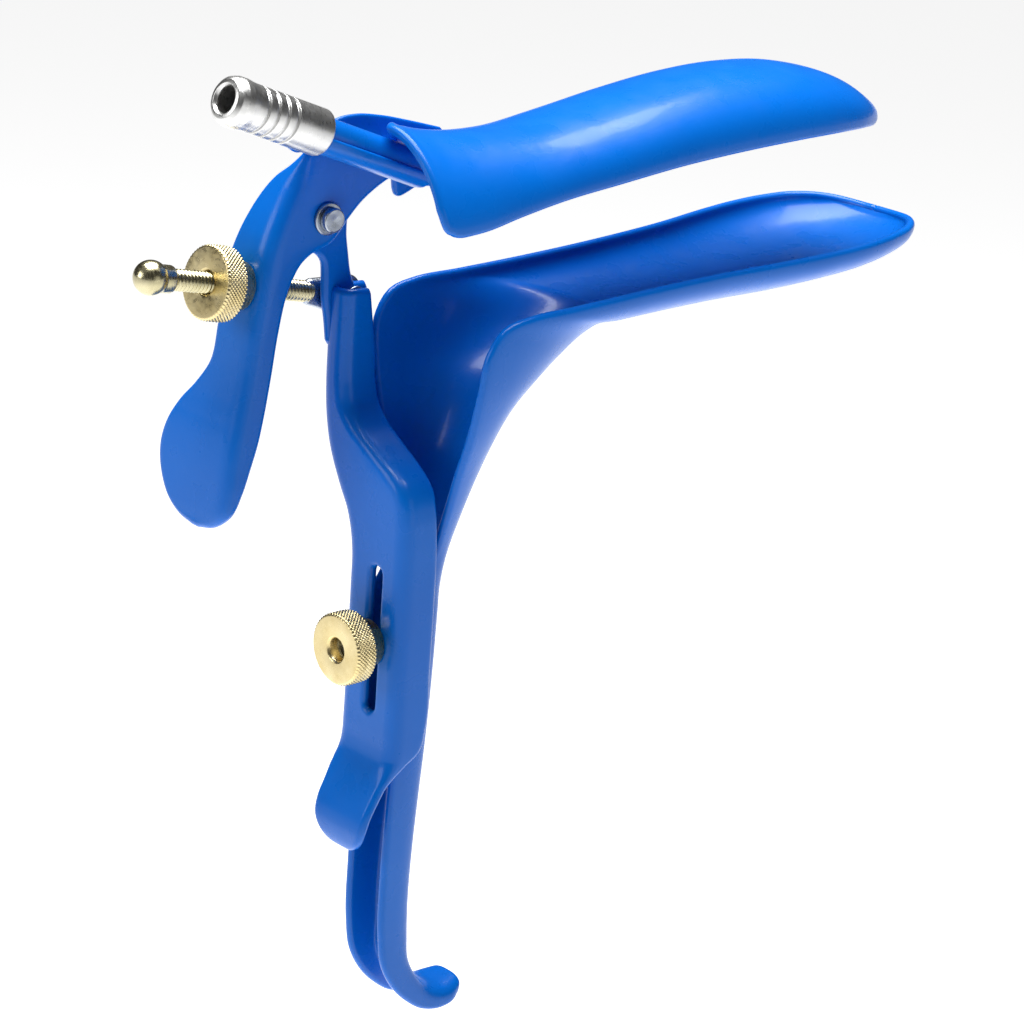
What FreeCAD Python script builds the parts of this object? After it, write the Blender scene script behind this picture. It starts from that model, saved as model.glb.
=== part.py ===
import FreeCAD, Part
import math
import os

os.makedirs("parts", exist_ok=True)

# An open-sided speculum with a smoke tube. All sizes are in millimetres.
# X points forward to the blade tips, Y to the side that carries the yoke's arm, Z up the handle.
# The origin is on the handle below the yoke, in the plane of the yoke's outer face.

# Stock and fits
SHEET = 1.8             # coated sheet of both blades
PLATE = 2.0             # coated plate of the yoke and the thumb lever
SLIDE_GAP = 0.3         # between the sides of the handle and the yoke that slides on it
RIM_GAP = 0.6           # between the rims of the handle and the yoke's web
TURN_GAP = 0.3          # between plates that turn past each other
PIN_GAP = 0.05          # radial, for a pin that turns in its hole
SEAT_GAP = 0.05         # under a nut that is run up to a face
BRAZE_GAP = 0.02        # film of braze round the tube, and the thread's play under the ball

# Lower blade
HEEL_X = 9.6            # rims of the neck, where they rise to the blade
RIM_HEIGHT = 108.2      # rim at the heel
BLADE_LENGTH = 123.9    # heel to tip
BLADE_WIDTH = 40.0
BLADE_DEPTH = 8.0
BLADE_RISE = 2.2        # degrees, tip above heel

# Handle and its hook
HANDLE_WIDTH = 11.4
HANDLE_DEPTH = 10.0     # at the lock stud
HANDLE_TAPER = 2.8      # depth lost towards the hook
STEM_BOTTOM = 20.0      # lower end of the yoke's stem, where the thumb rest begins
HOOK_DROP = 34.6        # lowest point below the origin
HOOK_REACH = 24.8

# Yoke
STEM_DEPTH = 7.8        # near wall
FAR_WALL_DEPTH = 3.8
SHOULDER_HEIGHT = 78.0
ARM_FAR = 18.5          # outer face of the arm, on the far side
ARM_WIDTH = 6.5
LEDGE_HEIGHT = 109.5    # top of the arm's near wall; all that turns on the ear rises with it
SLOT_WIDTH = 4.9
SLOT_LENGTH = 30.8
SLOT_CENTRE = 45.5
REST_OUT = 6.0          # thumb rest, out from the stem
REST_LENGTH = 20.0

# Blade hinge
PIVOT_X = -3.9
PIVOT_LIFT = 13.8       # above the ledge of the arm
EAR_RADIUS = 7.4
RIVET_RADIUS = 1.9
RIVET_HEAD_RADIUS = 2.3
RIVET_HEAD_HEIGHT = 1.6
WASHER_RADIUS = 3.1
WASHER_THICKNESS = 0.8

# Upper blade
UPPER_LENGTH = 119.4
UPPER_WIDTH = 35.0
UPPER_DEPTH = 12.0
UPPER_BASE_AHEAD = 7.1  # lobes of the open base, ahead of the hinge
UPPER_RIM_LIFT = 3.5    # rims above the hinge
LOBE_RADIUS = 4.6       # rounded lower corners of the base
UPPER_RISE = 5.2        # degrees

# Thumb lever
LEVER_PLATE = 2.2
WEB_WIDTH = 11.6
PADDLE_RADIUS = 13.0
PADDLE_DROP = 45.3      # centre of the paddle, below the hinge
PADDLE_OUT = 9.1        # and beyond the near face of the lever's flange
FLANGE_WIDTH = 5.4      # side of the lever, turned forward from its web

# Smoke tube and hose connector
TUBE_SIDE = 3.0         # tube axis, from the middle plane
TUBE_SLOPE = 20.0       # degrees, down towards the blade
TUBE_RADIUS = 3.5
TUBE_BORE_RADIUS = 2.4
TUBE_LENGTH = 32.0
NOZZLE_BACK = 33.2      # mouth of the connector, behind the hinge
NOZZLE_LIFT = 26.8      # and above it
NOZZLE_LENGTH = 24.7
NOZZLE_RADIUS = 4.3
NOZZLE_TIP_RADIUS = 4.6
SOCKET_DEPTH = 6.0
GROOVE_DEPTH = 0.45
GROOVE_WIDTH = 0.7
GROOVE_PITCH = 2.3
GROOVE_COUNT = 4

# Tilt screw, with its eye on the yoke's arm
SCREW_RADIUS = 2.08
SCREW_LENGTH = 45.0     # eye centre to ball centre
SCREW_SLOPE = 11.0      # degrees, up towards the examiner
EYE_X = 5.4
EYE_DROP = 3.0          # below the ledge of the arm
EYE_RADIUS = 4.0
EYE_THICKNESS = 2.4
EYE_RIVET_RADIUS = 1.5
EYE_RIVET_HEAD_RADIUS = 2.5
EYE_RIVET_HEAD_HEIGHT = 1.2
BALL_RADIUS = 3.2
LEVER_HOLE_WIDTH = 5.6
LEVER_HOLE_LENGTH = 9.6

# Knurled nuts
NUT_RADIUS = 7.0
NUT_LENGTH = 4.6
BOSS_RADIUS = 4.5
BOSS_LENGTH = 3.7
TILT_NUT_STANDOFF = 0.5

# Lock stud
STUD_RADIUS = 2.08
STUD_HEIGHT = 45.0
STUD_RECESS = 2.4       # end of the stud inside the nut

# Worked out from the above
PIVOT_Z = LEDGE_HEIGHT + PIVOT_LIFT
EYE_Z = LEDGE_HEIGHT - EYE_DROP
UPPER_BASE_X = PIVOT_X + UPPER_BASE_AHEAD
UPPER_RIM_HEIGHT = PIVOT_Z + UPPER_RIM_LIFT
PADDLE_HEIGHT = PIVOT_Z - PADDLE_DROP
NOZZLE_X = PIVOT_X - NOZZLE_BACK
NOZZLE_Z = PIVOT_Z + NOZZLE_LIFT
LEVER_NECK = PIVOT_Z - 9.3     # narrow part of the lever, beside the screw
EAR_NEAR = ARM_FAR - PLATE
FLANGE_FAR = EAR_NEAR - TURN_GAP
FLANGE_NEAR = FLANGE_FAR - PLATE
STEM_HALF = HANDLE_WIDTH / 2 + SLIDE_GAP + PLATE
HANDLE_RIM_X = PLATE + RIM_GAP + SHEET / 2
SCREW_SIDE = ARM_FAR + PIN_GAP + EYE_THICKNESS / 2


def vec(x, y, z):
    return FreeCAD.Vector(x, y, z)


def curve(points):
    """Smooth open edge through the points."""
    spline = Part.BSplineCurve()
    spline.interpolate(points)
    return spline.toShape()


def line(a, b):
    return Part.makeLine(a, b)


def cylinder(radius, start, direction, length):
    return Part.makeCylinder(radius, length, start, direction)


# Thin pressed shells

ROW_STEPS = 10
LOWER_ROW_COUNT = 60
UPPER_ROW_COUNT = 36
END_CROWDING = 0.7      # rows stand closer together towards both ends of a shell


def trough_row(rim, keel, half_width, squareness):
    """Points from the near rim round the keel to the far rim, on a superellipse."""
    row = []
    for step in range(ROW_STEPS + 1):
        angle = math.pi * (step / ROW_STEPS - 0.5)
        across = math.copysign(abs(math.sin(angle)) ** (2 / squareness), angle)
        down = 0.0 if step in (0, ROW_STEPS) else math.cos(angle) ** (2 / squareness)
        x = rim[0] + down * (keel[0] - rim[0])
        z = rim[1] + down * (keel[1] - rim[1])
        row.append(vec(x, half_width * across, z))
    return row


def inner_keel(stations, index, thickness):
    """Keel point of the inner face, one thickness away square to the keel line."""
    rim, keel = stations[index][0], stations[index][1]
    before = stations[max(index - 1, 0)][1]
    after = stations[min(index + 1, len(stations) - 1)][1]
    deep_x, deep_z = keel[0] - rim[0], keel[1] - rim[1]
    deep = math.hypot(deep_x, deep_z)
    slant = 1.0
    if 0 < index < len(stations) - 1:
        along_x, along_z = after[0] - before[0], after[1] - before[1]
        slant = abs(along_x * deep_z - along_z * deep_x) / (deep * math.hypot(along_x, along_z))
    share = 1 - thickness / (slant * deep)
    return (rim[0] + share * deep_x, rim[1] + share * deep_z)


def row_curve(points):
    """Spline with evenly spaced knots, so that all rows of a shell match."""
    steps = len(points) - 1
    spline = Part.BSplineCurve()
    spline.interpolate(Points=points, Parameters=[step / steps for step in range(steps + 1)])
    return spline.toShape()


def round_rim(start, end, outward, thickness):
    """Half-round edge between the outer and inner face."""
    outward.normalize()
    middle = (start + end) * 0.5
    points = []
    for step in range(5):
        angle = math.pi * step / 4
        points.append(middle + (start - middle) * math.cos(angle) + outward * (thickness / 2 * math.sin(angle)))
    return row_curve(points)


def smooth_stations(stations, count):
    """The stations drawn smooth, as (rim, keel, half width, squareness), closer at both ends."""
    rims = [vec(rim[0], half_width, rim[1]) for rim, keel, half_width, squareness in stations]
    keels = [vec(keel[0], squareness, keel[1]) for rim, keel, half_width, squareness in stations]
    places = [0.0]
    for index in range(1, len(stations)):
        step = (rims[index] - rims[index - 1]).Length + (keels[index] - keels[index - 1]).Length
        places.append(places[-1] + step)
    rim_line = Part.BSplineCurve()
    rim_line.interpolate(Points=rims, Parameters=places)
    keel_line = Part.BSplineCurve()
    keel_line.interpolate(Points=keels, Parameters=places)
    smooth = []
    for index in range(count):
        turn = 2 * math.pi * index / (count - 1)
        place = places[-1] * (turn - END_CROWDING * math.sin(turn)) / (2 * math.pi)
        rim = rim_line.value(place)
        keel = keel_line.value(place)
        smooth.append(((rim.x, rim.z), (keel.x, keel.z), rim.y, keel.y))
    return smooth


def pressed_shell(stations, thickness, count):
    """Solid of one thickness through the stations, ruled from row to row so that it keeps few facets."""
    smooth = smooth_stations(stations, count)
    wires = []
    for index, (rim, keel, half_width, squareness) in enumerate(smooth):
        outer = trough_row(rim, keel, half_width, squareness)
        inner_at = inner_keel(smooth, index, thickness)
        inner = trough_row(rim, inner_at, half_width - thickness, squareness)
        wires.append(Part.Wire([
            row_curve(outer),
            round_rim(outer[-1], inner[-1], outer[-1] - outer[-2], thickness),
            row_curve(inner[::-1]),
            round_rim(inner[0], outer[0], outer[0] - outer[1], thickness),
        ]))
    return Part.makeLoft(wires, True, True, False, 3)


def strip(points, thickness, side):
    """Flat band in the XZ or YZ plane: a curve, its parallel at the thickness, and two ends."""
    offset = []
    for place, point in enumerate(points):
        along = points[min(place + 1, len(points) - 1)] - points[max(place - 1, 0)]
        normal = along.cross(side)
        normal.normalize()
        offset.append(point + normal * thickness)
    edges = [curve(points), line(points[-1], offset[-1]), curve(offset[::-1]), line(offset[0], points[0])]
    return Part.Face(Part.Wire(edges))


# Lower blade, pressed in one piece with the handle and its hook

def blade_stations():
    """Level part of the lower blade: share of length, share of width, share of depth, rim drop, keel lag."""
    shares = [
        (0.083, 0.845, 0.87, 0.4, 27.0),
        (0.177, 0.835, 0.90, 0.3, 20.0),
        (0.312, 0.82, 0.92, 0.3, 12.0),
        (0.468, 0.84, 0.96, 0.1, 6.0),
        (0.62, 0.92, 1.00, -0.1, 2.0),
        (0.73, 0.99, 1.00, -0.5, 0.0),
        (0.80, 1.00, 0.99, -0.9, 0.0),
        (0.865, 0.95, 0.93, -1.3, 0.0),
        (0.92, 0.84, 0.80, -1.5, 0.0),
        (0.96, 0.66, 0.60, -1.4, 0.0),
        (0.987, 0.44, 0.38, -1.1, 0.0),
        (1.0, 0.24, 0.24, -0.8, 0.0),
    ]
    stations = []
    for along, wide, deep, drop, lag in shares:
        x = HEEL_X + along * BLADE_LENGTH
        rise = math.tan(math.radians(BLADE_RISE))
        z = RIM_HEIGHT + rise * (x - HEEL_X) - drop
        keel = (x + lag, z - deep * BLADE_DEPTH + rise * lag)
        stations.append(((x, z), keel, wide * BLADE_WIDTH / 2, 2.2))
    return stations


def neck_stations():
    """From the top of the handle, widening and turning forward into the blade's heel."""
    handle_half = HANDLE_WIDTH / 2
    blade_half = 0.84 * BLADE_WIDTH / 2
    back = HANDLE_RIM_X + HANDLE_DEPTH
    top = RIM_HEIGHT
    handle_top = STUD_HEIGHT + 4.0
    shares = [
        (0.025, 0.025, 0.1, 0.0, 3.9),
        (0.06, 0.15, 0.2, 0.0, 3.6),
        (0.13, 0.52, 0.7, 0.0, 3.2),
        (0.21, 0.93, 1.9, 0.02, 2.8),
        (0.33, 1.0, 4.0, 0.20, 2.5),
        (0.49, 1.0, 7.6, 0.46, 2.3),
        (0.65, 1.0, 13.0, 0.74, 2.2),
        (0.80, 1.0, 19.5, 0.92, 2.2),
        (0.905, 1.08, 25.0, 0.985, 2.2),
    ]
    stations = [((HANDLE_RIM_X, handle_top), (back, handle_top), handle_half, 4.0)]
    for up, forward, keel_out, wide, squareness in shares:
        z = handle_top + up * (top - handle_top)
        x = HANDLE_RIM_X + forward * (HEEL_X + SHEET / 2 - HANDLE_RIM_X)
        keel_z = z + min(2.5, 12.0 * up) - max(0.0, 7.0 * (up - 0.65) / 0.25)
        half_width = handle_half + wide * (blade_half - handle_half)
        stations.append(((x, z), (back + keel_out, keel_z), half_width, squareness))
    corner = (HEEL_X + 4.6, top - 1.4)
    stations.append((corner, (back + 29.5, top - BLADE_DEPTH * 0.98), blade_half, 2.2))
    return stations


def handle_stations():
    """The channel handle, tapering down to the hook that turns forward."""
    half = HANDLE_WIDTH / 2
    back = HANDLE_RIM_X + HANDLE_DEPTH
    slim = back - HANDLE_TAPER
    drop = -HOOK_DROP
    rim = HANDLE_RIM_X - 0.6
    hook = [
        ((HOOK_REACH, drop + 1.6), (HOOK_REACH + 0.3, drop + 4.6), 0.84, 2.6),
        ((HOOK_REACH - 2.0, drop + 0.8), (HOOK_REACH - 1.8, drop + 4.0), 0.94, 2.8),
        ((HOOK_REACH - 5.2, drop + 0.4), (HOOK_REACH - 4.8, drop + 3.9), 1.0, 3.2),
        ((HOOK_REACH - 9.6, drop + 1.4), (HOOK_REACH - 8.6, drop + 5.4), 1.0, 3.6),
        ((HOOK_REACH - 14.0, drop + 4.4), (HOOK_REACH - 11.8, drop + 9.0), 1.0, 4.0),
        ((HOOK_REACH - 17.6, drop + 8.2), (HOOK_REACH - 13.8, drop + 13.4), 1.0, 4.0),
        ((HOOK_REACH - 20.4, drop + 13.2), (slim, drop + 18.5), 1.0, 4.0),
        ((rim + 0.3, drop + 20.0), (slim - 0.2, drop + 24.5), 1.0, 4.0),
    ]
    stations = [(r, k, half * wide, square) for r, k, wide, square in hook]
    stations.append(((rim, -2.0), (slim, 0.0), half, 4.0))
    stations.append(((HANDLE_RIM_X - 0.3, 11.0), (slim + 0.8, 12.0), half, 4.0))
    stations.append(((HANDLE_RIM_X, STEM_BOTTOM + 2), (back - 1.1, STEM_BOTTOM + 3), half, 4.0))
    stations.append(((HANDLE_RIM_X, STUD_HEIGHT - 10), (back - 0.4, STUD_HEIGHT - 10), half, 4.0))
    return stations


def lower_blade():
    shell = pressed_shell(handle_stations() + neck_stations() + blade_stations(), SHEET, LOWER_ROW_COUNT)
    web_x = HANDLE_RIM_X + HANDLE_DEPTH - 3 * SHEET
    hole = cylinder(STUD_RADIUS, vec(web_x, 0, STUD_HEIGHT), vec(1, 0, 0), 6 * SHEET)
    return shell.cut(hole)


# Yoke: stem, shoulder, arm with the ear, and thumb rest

def far_edge():
    """Far side of the yoke in front view, from the thumb rest up the arm."""
    lean = ARM_FAR - STEM_HALF
    top = SHOULDER_HEIGHT
    rise = [(0.0, -27.0), (0.02, -18.0), (0.1, -12.5), (0.42, -6.5), (0.76, -0.5), (0.93, 6.0), (1.0, 14.0)]
    points = [vec(0, STEM_HALF, STEM_BOTTOM + height) for height in (-2, 8, 18, 26)]
    points += [vec(0, STEM_HALF + share * lean, top + height) for share, height in rise]
    points += [vec(0, ARM_FAR, (top + 14.0 + LEDGE_HEIGHT) / 2), vec(0, ARM_FAR, LEDGE_HEIGHT)]
    return points


def near_edge():
    """Near side of the yoke in front view: up the stem, over the shoulder and up the arm."""
    arm = ARM_FAR - ARM_WIDTH
    top = SHOULDER_HEIGHT
    straight = top + 12.4
    return [
        vec(0, -STEM_HALF, STEM_BOTTOM - 2), vec(0, -STEM_HALF, STEM_BOTTOM + 15),
        vec(0, -STEM_HALF, top - 23), vec(0, -STEM_HALF, top - 8.5), vec(0, -STEM_HALF + 1.4, top - 2.4),
        vec(0, -STEM_HALF + 5.2, top + 0.6), vec(0, arm - 9.5, top + 3.6), vec(0, arm - 3.6, top + 7.0),
        vec(0, arm - 0.4, straight), vec(0, arm, 0.6 * straight + 0.4 * LEDGE_HEIGHT),
        vec(0, arm, LEDGE_HEIGHT),
    ]


def wall(points, thickness, side, depth):
    return strip(points, thickness, side).extrude(vec(depth, 0, 0))


def front_profile(depths):
    """Region behind a line of (depth, height), to trim a wall to its depth."""
    points = [vec(-1, -40, depths[0][1])]
    points += [vec(depth, -40, z) for depth, z in depths]
    points.append(vec(-1, -40, depths[-1][1]))
    return Part.Face(Part.makePolygon(points + [points[0]])).extrude(vec(0, 80, 0))


def ear():
    """Flat ear that carries the blade hinge, standing on the far wall of the arm."""
    x = PIVOT_X
    z = PIVOT_Z
    r = EAR_RADIUS
    turn = math.radians(38)
    low = vec(x + r * math.sin(turn), EAR_NEAR, z - r * math.cos(turn))
    outline = [
        curve([vec(x + r, EAR_NEAR, z), vec(4.4, EAR_NEAR, z - 9), vec(5.4, EAR_NEAR, LEDGE_HEIGHT + 1),
               vec(9.0, EAR_NEAR, LEDGE_HEIGHT - 3)]),
        line(vec(9.0, EAR_NEAR, LEDGE_HEIGHT - 3), vec(9.0, EAR_NEAR, LEDGE_HEIGHT - 12)),
        line(vec(9.0, EAR_NEAR, LEDGE_HEIGHT - 12), vec(0, EAR_NEAR, LEDGE_HEIGHT - 12)),
        line(vec(0, EAR_NEAR, LEDGE_HEIGHT - 12), vec(-1.7, EAR_NEAR, LEDGE_HEIGHT)),
        curve([vec(-1.7, EAR_NEAR, LEDGE_HEIGHT), vec(-1.8, EAR_NEAR, z - 9.6),
               vec(-3.0, EAR_NEAR, z - r)]),
    ]
    back = Part.Arc(vec(-3.0, EAR_NEAR, z - r), vec(x - r, EAR_NEAR, z), vec(x, EAR_NEAR, z + r)).toShape()
    front = Part.Arc(vec(x, EAR_NEAR, z + r), vec(x + r * 0.75, EAR_NEAR, z + r * 0.66),
                     vec(x + r, EAR_NEAR, z)).toShape()
    plate = Part.Face(Part.Wire(outline + [back, front])).extrude(vec(0, PLATE, 0))
    rib = Part.makeBox(PLATE, 3.4, 9.0, vec(-1.7, ARM_FAR - 3.9, LEDGE_HEIGHT - 4.0))
    return plate.fuse(rib)


def thumb_rest():
    """Tongue bent outward below the stem, with a round end."""
    low = STEM_BOTTOM
    out = -REST_OUT
    end = low + 4 - REST_LENGTH
    profile = [vec(0, 0, low + 6), vec(0, 0, low + 3), vec(0.2 * out, 0, low - 0.5), vec(0.5 * out, 0, low - 4.5),
               vec(0.84 * out, 0, low - 8), vec(out, 0, low - 11.5), vec(0.94 * out, 0, low - 14.5),
               vec(0.74 * out, 0, end)]
    side = STEM_HALF + 2
    band = strip(profile, PLATE, vec(0, 1, 0)).extrude(vec(0, 2 * side, 0))
    band.translate(vec(0, -side, 0))
    half = 7.2
    edge = vec(0, half, low - 10)
    front = Part.Face(Part.Wire([
        curve([edge, vec(0, half + 0.3, low - 4), vec(0, STEM_HALF, low + 4)]),
        line(vec(0, STEM_HALF, low + 4), vec(0, STEM_HALF, low + 8)),
        line(vec(0, STEM_HALF, low + 8), vec(0, -STEM_HALF, low + 8)),
        line(vec(0, -STEM_HALF, low + 8), vec(0, -STEM_HALF, low + 4)),
        curve([vec(0, -STEM_HALF, low + 4), vec(0, -half - 0.3, low - 4), vec(0, -half, low - 10)]),
        Part.Arc(vec(0, -half, low - 10), vec(0, 0, end), edge).toShape(),
    ]))
    front.translate(vec(-20, 0, 0))
    return band.common(front.extrude(vec(40, 0, 0)))


def slot(x, length):
    """Round-ended slot for the lock stud, cut through the web along X."""
    r = SLOT_WIDTH / 2
    half = SLOT_LENGTH / 2 - r
    box = Part.makeBox(length, 2 * r, 2 * half, vec(x, -r, SLOT_CENTRE - half))
    top = cylinder(r, vec(x, 0, SLOT_CENTRE + half), vec(1, 0, 0), length)
    bottom = cylinder(r, vec(x, 0, SLOT_CENTRE - half), vec(1, 0, 0), length)
    return box.fuse([top, bottom])


def yoke():
    far = far_edge()
    near = near_edge()
    web = Part.Face(Part.Wire([curve(near), line(near[-1], far[-1]), curve(far[::-1]), line(far[0], near[0])]))
    body = web.extrude(vec(PLATE, 0, 0))
    near_wall = wall(near, PLATE, vec(1, 0, 0), 12).common(front_profile([
        (3.2, STEM_BOTTOM - 1), (STEM_DEPTH - 1.2, STEM_BOTTOM + 2), (STEM_DEPTH, STEM_BOTTOM + 9),
        (STEM_DEPTH, SHOULDER_HEIGHT - 16), (STEM_DEPTH - 0.8, SHOULDER_HEIGHT - 6),
        (STEM_DEPTH - 0.2, SHOULDER_HEIGHT + 4), (STEM_DEPTH - 0.8, LEDGE_HEIGHT - 12.5),
        (STEM_DEPTH - 2.8, LEDGE_HEIGHT + 2.5)]))
    far_wall = wall(far, PLATE, vec(-1, 0, 0), 12).common(front_profile([
        (FAR_WALL_DEPTH, STEM_BOTTOM), (FAR_WALL_DEPTH, SHOULDER_HEIGHT - 12), (STEM_DEPTH, SHOULDER_HEIGHT),
        (STEM_DEPTH, LEDGE_HEIGHT - 12.5), (STEM_DEPTH + 0.2, LEDGE_HEIGHT + 2.5)]))
    body = body.fuse([near_wall, far_wall, ear(), thumb_rest()]).removeSplitter()
    hinge_hole = cylinder(RIVET_RADIUS + PIN_GAP, vec(PIVOT_X, EAR_NEAR - 5, PIVOT_Z), vec(0, 1, 0), 12)
    eye_hole = cylinder(EYE_RIVET_RADIUS, vec(EYE_X, EAR_NEAR - 1, EYE_Z), vec(0, 1, 0), PLATE + 2)
    return body.cut([slot(-5, 12), hinge_hole, eye_hole])


# Upper blade

def upper_blade():
    """Arched trough, open at its base."""
    # Share of length, share of half width, share of height, rim lift, crown lag, squareness
    shares = [
        (0.045, 0.90, 1.20, -0.5, -2.4, 1.8),
        (0.11, 0.90, 1.00, 0.5, -2.0, 1.9),
        (0.20, 0.91, 0.83, 1.5, -0.6, 2.0),
        (0.32, 0.93, 0.83, 2.1, 0.0, 2.1),
        (0.45, 0.95, 0.88, 2.6, 0.0, 2.2),
        (0.58, 0.98, 0.93, 2.6, 0.0, 2.2),
        (0.70, 1.00, 0.92, 2.2, 0.0, 2.2),
        (0.80, 0.97, 0.83, 1.4, 0.0, 2.2),
        (0.885, 0.84, 0.66, 0.2, 0.0, 2.2),
        (0.945, 0.62, 0.44, -1.2, 0.0, 2.2),
        (0.985, 0.36, 0.27, -2.0, 0.0, 2.2),
        (1.0, 0.19, 0.22, -2.4, 0.0, 2.2),
    ]
    rise = math.tan(math.radians(UPPER_RISE))
    lobe_z = UPPER_RIM_HEIGHT - 0.4 + LOBE_RADIUS
    stations = []
    for angle, wide, high in [(0, 0.83, 16.7), (30, 0.88, 16.4), (60, 0.898, 16.0), (90, 0.90, 15.5)]:
        x = UPPER_BASE_X - LOBE_RADIUS * math.cos(math.radians(angle))
        z = lobe_z - LOBE_RADIUS * math.sin(math.radians(angle))
        stations.append(((x, z), (x, UPPER_RIM_HEIGHT - 0.4 + high), wide * UPPER_WIDTH / 2, 1.7))
    for along, wide, high, lift, lag, squareness in shares:
        x = UPPER_BASE_X + along * UPPER_LENGTH
        z = UPPER_RIM_HEIGHT + rise * (x - UPPER_BASE_X) + lift
        stations.append(((x, z), (x + lag, z + high * UPPER_DEPTH), wide * UPPER_WIDTH / 2, squareness))
    saddle = cylinder(TUBE_RADIUS + BRAZE_GAP, tube_axis(0), tube_direction(), NOZZLE_LENGTH + TUBE_LENGTH)
    return pressed_shell(stations, SHEET, UPPER_ROW_COUNT).cut(saddle)


# Smoke tube and hose connector share one sloping axis

def tube_axis(along):
    """Point on the axis, measured from the mouth of the connector."""
    slope = math.radians(TUBE_SLOPE)
    return vec(NOZZLE_X + along * math.cos(slope), TUBE_SIDE, NOZZLE_Z - along * math.sin(slope))


def tube_direction():
    slope = math.radians(TUBE_SLOPE)
    return vec(math.cos(slope), 0, -math.sin(slope))


def smoke_tube():
    start = tube_axis(NOZZLE_LENGTH - SOCKET_DEPTH)
    body = cylinder(TUBE_RADIUS, start, tube_direction(), TUBE_LENGTH)
    bore = cylinder(TUBE_BORE_RADIUS, start - tube_direction(), tube_direction(), TUBE_LENGTH + 2)
    return body.cut(bore)


def hose_connector():
    """Turned connector: rounded tip, grooves, plain end, socket for the tube."""
    tip = NOZZLE_TIP_RADIUS
    r = NOZZLE_RADIUS
    bore = TUBE_BORE_RADIUS
    end = NOZZLE_LENGTH
    rim = curve([vec(0, 0, bore), vec(-0.0, 0, bore + 0.9), vec(0.9, 0, tip - 0.5), vec(2.4, 0, tip),
                 vec(4.2, 0, tip - 0.2), vec(6.0, 0, r)])
    profile = [rim, line(vec(6.0, 0, r), vec(end - 0.3, 0, r)), line(vec(end - 0.3, 0, r), vec(end, 0, r - 0.3)),
               line(vec(end, 0, r - 0.3), vec(end, 0, bore)), line(vec(end, 0, bore), vec(0, 0, bore))]
    body = Part.Face(Part.Wire(profile)).revolve(vec(0, 0, 0), vec(1, 0, 0), 360)
    cuts = [cylinder(TUBE_RADIUS, vec(end - SOCKET_DEPTH, 0, 0), vec(1, 0, 0), SOCKET_DEPTH + 1)]
    for index in range(GROOVE_COUNT):
        ring = cylinder(r + 2, vec(6.4 + index * GROOVE_PITCH, 0, 0), vec(1, 0, 0), GROOVE_WIDTH)
        core = cylinder(r - GROOVE_DEPTH, vec(6.0 + index * GROOVE_PITCH, 0, 0), vec(1, 0, 0), GROOVE_WIDTH + 1)
        cuts.append(ring.cut(core))
    body = body.cut(cuts)
    body.rotate(vec(0, 0, 0), vec(0, 1, 0), TUBE_SLOPE)
    body.translate(tube_axis(0))
    return body


# Thumb lever, with the flange that carries the hinge and the band under the tube

def paddle_foot():
    """Height at which the paddle's round end meets the near face of the flange."""
    return PADDLE_HEIGHT - math.sqrt(PADDLE_RADIUS ** 2 - PADDLE_OUT ** 2)


def web_line():
    """Outer face of the lever's web in side view, from the paddle's end up to the band."""
    end = PADDLE_HEIGHT - PADDLE_RADIUS
    low = PADDLE_HEIGHT + 1
    span = LEVER_NECK - low
    line_up = [(20.7, end - 1.5), (20.3, end + 5), (19.5, low), (17.8, low + 0.23 * span),
               (16.3, low + 0.46 * span), (15.0, low + 0.71 * span), (13.7, LEVER_NECK),
               (12.2, PIVOT_Z - 2.8), (9.7, PIVOT_Z + 3.3), (6.7, PIVOT_Z + 8.2), (3.7, PIVOT_Z + 13.7)]
    return [vec(PIVOT_X - back, 0, height) for back, height in line_up]


def web_face(height):
    """Place of the web's outer face along X at a height."""
    points = web_line()
    for low, high in zip(points, points[1:]):
        if height <= high.z:
            share = (height - low.z) / (high.z - low.z)
            return low.x + share * (high.x - low.x)
    return points[-1].x


def lever_web():
    """Bent strip trimmed to its front outline: a straight upper part and a round paddle."""
    near = FLANGE_NEAR
    far = near + WEB_WIDTH
    z = PADDLE_HEIGHT
    r = PADDLE_RADIUS
    side = near + PADDLE_OUT
    shoulder = z + 8.8
    span = LEVER_NECK - shoulder
    band = strip(web_line(), LEVER_PLATE, vec(0, -1, 0)).extrude(vec(0, 60, 0))
    outline = [
        vec(-40, near, PIVOT_Z + 11.2), vec(-40, near + 4, PIVOT_Z + 9.2), vec(-40, far - 3, PIVOT_Z + 5.2),
        vec(-40, far - 0.6, PIVOT_Z - 0.8), vec(-40, far, LEVER_NECK), vec(-40, far, shoulder + 0.6 * span),
        vec(-40, far - 0.2, shoulder + 0.3 * span), vec(-40, side + 0.78 * r, shoulder), vec(-40, side + r, z),
    ]
    foot = vec(-40, near, paddle_foot())
    front = Part.Face(Part.Wire([
        line(foot, outline[0]), curve(outline), Part.Arc(outline[-1], vec(-40, side, z - r), foot).toShape()]))
    return band.common(front.extrude(vec(60, 0, 0)))


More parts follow.
